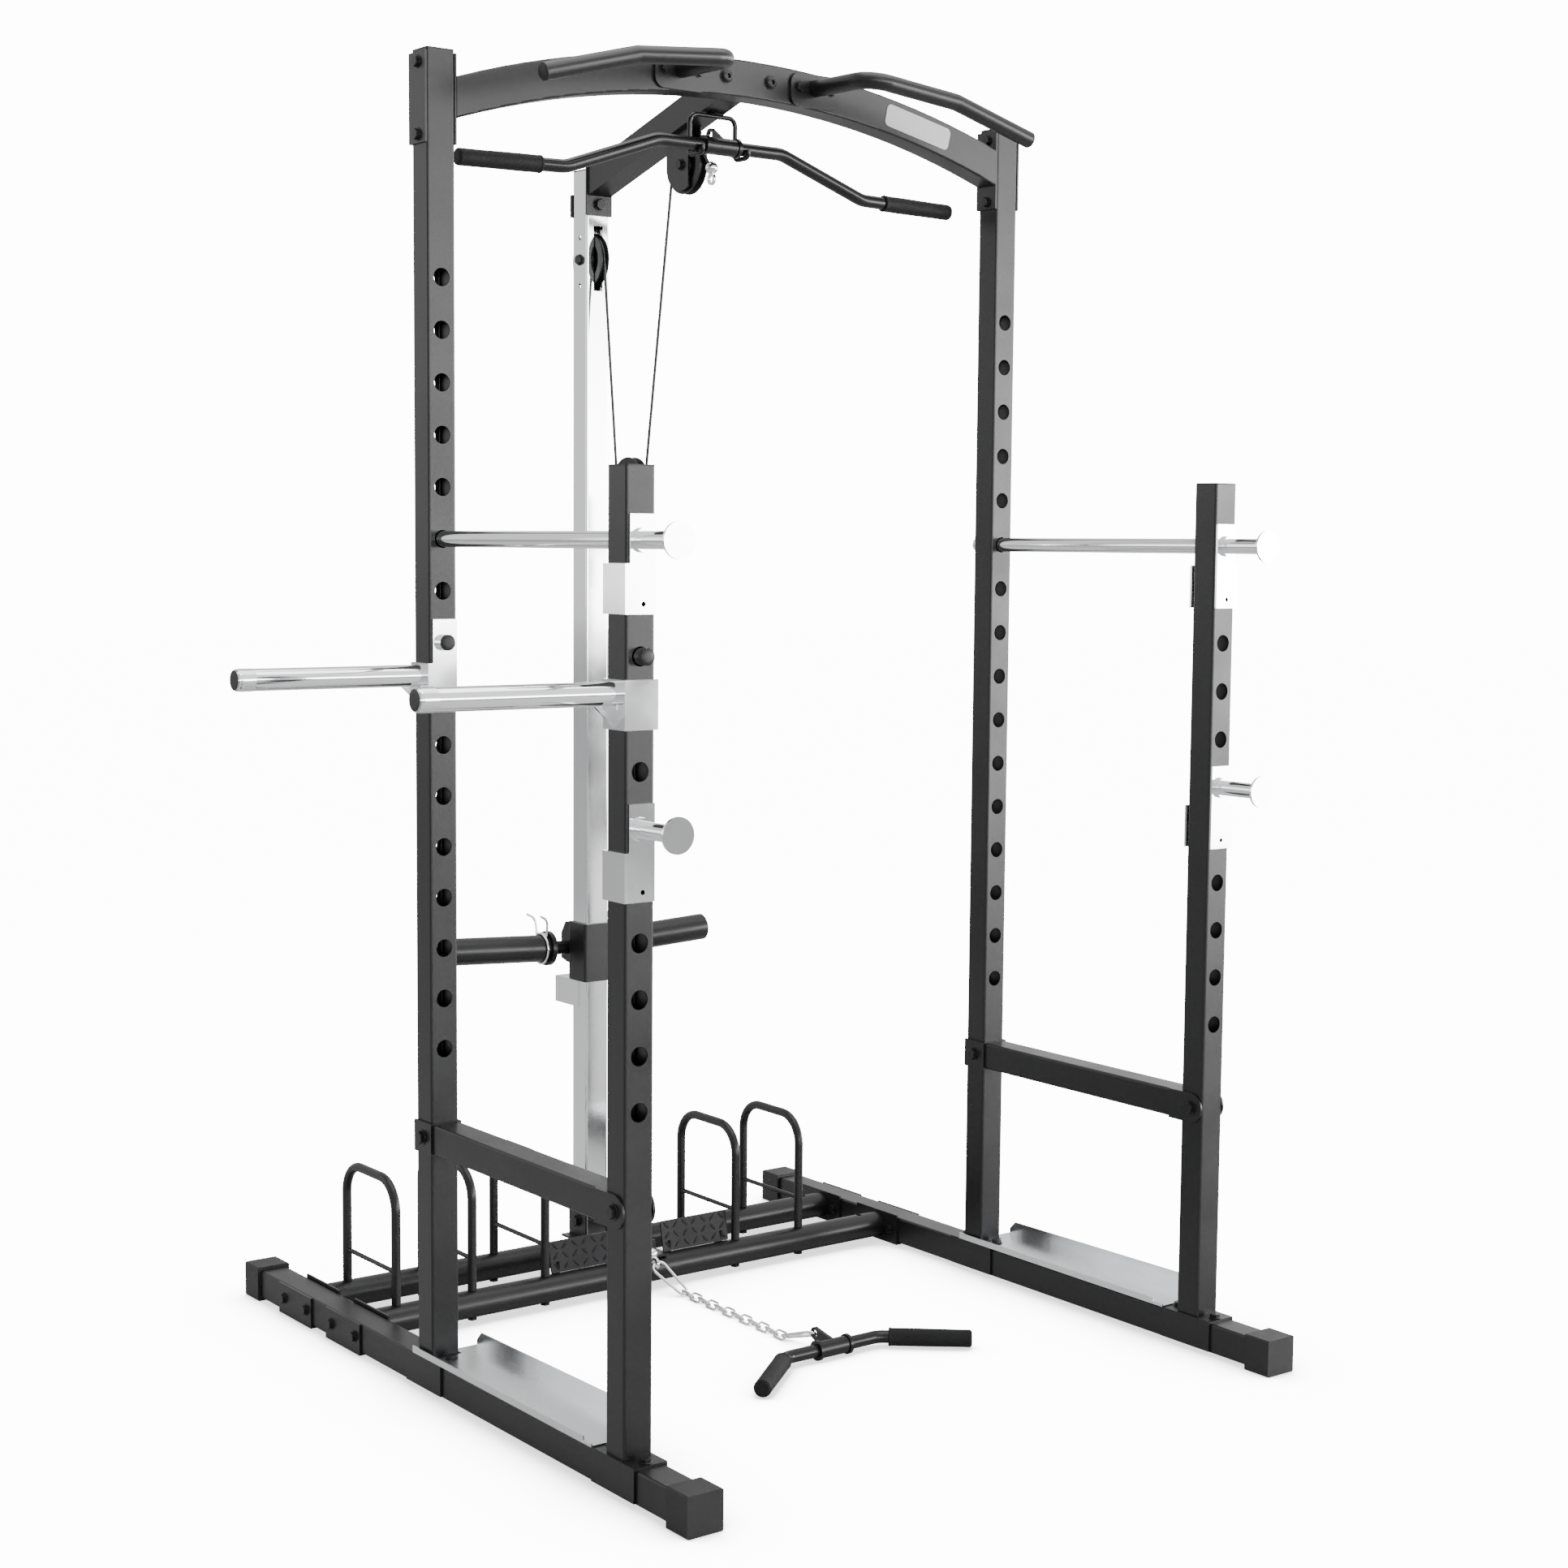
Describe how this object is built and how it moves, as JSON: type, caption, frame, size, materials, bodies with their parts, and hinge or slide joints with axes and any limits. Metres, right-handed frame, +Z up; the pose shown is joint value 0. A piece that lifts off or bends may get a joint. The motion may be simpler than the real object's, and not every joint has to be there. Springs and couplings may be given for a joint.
{
  "type": "power cage",
  "caption": "Four-post power cage with an arched pull-up beam, a plate-loaded lat and low-row tower, catches, safety rods, dip bars and plate storage.",
  "frame": {"origin": "on the floor, on the mid-plane between the uprights, under the centre line of the two rear uprights", "axes": "+Z up; +X across the cage from the left upright to the right one; -Y towards the side that the lifter walks in from"},
  "size_m": [1.5649, 1.4, 2.153],
  "materials": {
    "black_powder": "satin black powder coat",
    "chrome": "bright chrome plate",
    "bright_sheet": "bright plain sheet",
    "black_plastic": "moulded black plastic",
    "black_rubber": "ribbed black rubber",
    "pulley_nylon": "black nylon wheel",
    "black_cable": "black jacket over steel cable",
    "black_bolts": "black oxide",
    "bright_badge": "blank satin plate"
  },
  "bodies": {
    "cage": {"arch_beam": "black_powder", "badge_plate": "bright_badge", "base_rail_left": "black_powder", "base_rail_right": "black_powder", "bridge_plate": "black_powder", "cable_on_pulleys": "black_cable", "cable_to_block": "black_cable", "cable_to_carriage": "black_cable", "cable_to_lat_end": "black_cable", "cable_to_low_pulley": "black_cable", "cable_to_row_end": "black_cable", "carriage_stop": "chrome", "end_caps": "black_plastic", "foot_plates": "black_powder", "frame_bolts": "black_bolts", "front_upright_left": "black_powder", "front_upright_right": "black_powder", "lat_bar_hooks": "black_powder", "lat_bar_sleeve": "black_powder", "lat_beam": "black_powder", "lat_tower": "chrome", "plate_loops_left": "black_powder", "plate_loops_right": "black_powder", "pull_up_bar_left": "black_powder", "pull_up_bar_right": "black_powder", "rear_upright_left": "black_powder", "rear_upright_right": "black_powder", "side_beam_left": "black_powder", "side_beam_right": "black_powder", "storage_tubes": "black_powder", "tray_left": "bright_sheet", "tray_right": "bright_sheet", "tube_plugs": "black_plastic"},
    "carriage_body": {"carriage": "black_powder", "carriage_bumper": "black_rubber", "weight_horns": "black_powder", "horn_plugs": "black_plastic"},
    "clip_left": {"spring_clip_left": "chrome"},
    "clip_right": {"spring_clip_right": "chrome"},
    "front_wheel": {"front_pulley": "pulley_nylon"},
    "rear_wheel": {"rear_pulley": "pulley_nylon"},
    "block_wheel": {"block_pulley": "pulley_nylon"},
    "low_wheel": {"low_pulley": "pulley_nylon"},
    "block": {"floating_block": "black_powder", "cable_under_block": "black_cable"},
    "lat_end": {"lat_cable_end": "chrome"},
    "lat_grip_bar": {"lat_bar": "black_powder", "lat_bar_grips": "black_rubber"},
    "row_tackle": {"row_cable_end": "chrome", "snap_links": "chrome", "row_chain": "chrome", "row_bar_sleeve": "black_powder"},
    "row_grip_bar": {"row_bar": "black_powder", "row_bar_grips": "black_rubber"},
    "catch_left": {"bar_catch_left": "chrome"},
    "catch_right": {"bar_catch_right": "chrome"},
    "rod_left": {"safety_rod_left": "chrome"},
    "rod_right": {"safety_rod_right": "chrome"},
    "dip_front": {"dip_handle_front": "chrome"},
    "dip_rear": {"dip_handle_rear": "chrome"}
  },
  "joints": [
    {"name": "carriage_lift", "type": "slide", "parent": "cage", "child": "carriage_body", "axis": [0, 0, 1], "range_m": [0, 0.9], "deforming": ["cable_to_carriage"]},
    {"name": "lat_pull", "type": "slide", "parent": "cage", "child": "lat_end", "axis": [0, 0, -1], "range_m": [0, 0.9], "deforming": ["cable_to_lat_end"]},
    {"name": "front_wheel_spin", "type": "hinge", "parent": "cage", "child": "front_wheel", "pos_m": [0, 0.152, 2.002], "axis": [1, 0, 0], "range_deg": [0, 1180]},
    {"name": "rear_wheel_spin", "type": "hinge", "parent": "cage", "child": "rear_wheel", "pos_m": [0, 0.46, 1.866], "axis": [1, 0, 0], "range_deg": [0, 1180]},
    {"name": "block_lift", "type": "slide", "parent": "cage", "child": "block", "axis": [0, 0, -1], "range_m": [0, 0.45], "deforming": ["cable_to_block", "cable_to_low_pulley"]},
    {"name": "block_wheel_spin", "type": "hinge", "parent": "block", "child": "block_wheel", "pos_m": [0, 0.326, 1.459], "axis": [-1, 0, 0], "range_deg": [0, 1180]},
    {"name": "row_pull", "type": "slide", "parent": "cage", "child": "row_tackle", "axis": [0, -1, 0], "range_m": [0, 0.45], "stiffness_N_per_m": 40, "springref_m": -0.5, "deforming": ["cable_to_row_end"]},
    {"name": "low_wheel_spin", "type": "hinge", "parent": "cage", "child": "low_wheel", "pos_m": [0, 0.314, 0.112], "axis": [-1, 0, 0], "range_deg": [0, 600]},
    {"name": "lat_bar_turn", "type": "hinge", "parent": "cage", "child": "lat_grip_bar", "pos_m": [0, 0.055, 2.022], "axis": [1, 0, 0], "range_deg": [-40, 40]},
    {"name": "row_bar_turn", "type": "hinge", "parent": "row_tackle", "child": "row_grip_bar", "pos_m": [0.034, -0.241, 0.017], "axis": [-1, 0, 0], "range_deg": [0, 90]},
    {"name": "clip_left_slide", "type": "slide", "parent": "carriage_body", "child": "clip_left", "axis": [-0.9986, 0, 0.0523], "range_m": [0, 0.15]},
    {"name": "catch_left_turn", "type": "hinge", "parent": "cage", "child": "catch_left", "pos_m": [-0.5775, -0.554, 0.958], "axis": [0, 1, 0], "range_deg": [0, 90]},
    {"name": "rod_left_turn", "type": "hinge", "parent": "cage", "child": "rod_left", "pos_m": [-0.5775, -0.554, 1.358], "axis": [0, 1, 0], "range_deg": [0, 90]},
    {"name": "clip_right_slide", "type": "slide", "parent": "carriage_body", "child": "clip_right", "axis": [0.9986, 0, 0.0523], "range_m": [0, 0.15]},
    {"name": "catch_right_turn", "type": "hinge", "parent": "cage", "child": "catch_right", "pos_m": [0.5775, -0.554, 0.958], "axis": [0, -1, 0], "range_deg": [0, 90]},
    {"name": "rod_right_turn", "type": "hinge", "parent": "cage", "child": "rod_right", "pos_m": [0.5775, -0.554, 1.358], "axis": [0, -1, 0], "range_deg": [0, 90]},
    {"name": "dip_front_turn", "type": "hinge", "parent": "cage", "child": "dip_front", "pos_m": [-0.5775, -0.554, 1.198], "axis": [0, 1, 0], "range_deg": [0, 60]},
    {"name": "dip_rear_turn", "type": "hinge", "parent": "cage", "child": "dip_rear", "pos_m": [-0.5775, 0, 1.198], "axis": [0, 1, 0], "range_deg": [0, 60]}
  ],
  "couplings": [
    {"joint": "lat_pull", "follows": "carriage_lift", "ratio": 1},
    {"joint": "front_wheel_spin", "follows": "carriage_lift", "rad_per_m": 22.727},
    {"joint": "rear_wheel_spin", "follows": "carriage_lift", "rad_per_m": 22.727},
    {"joint": "block_wheel_spin", "follows": "carriage_lift", "rad_per_m": 22.727},
    {"joint": "block_lift", "follows": "row_pull", "ratio": 1},
    {"joint": "low_wheel_spin", "follows": "row_pull", "rad_per_m": 22.727}
  ]
}
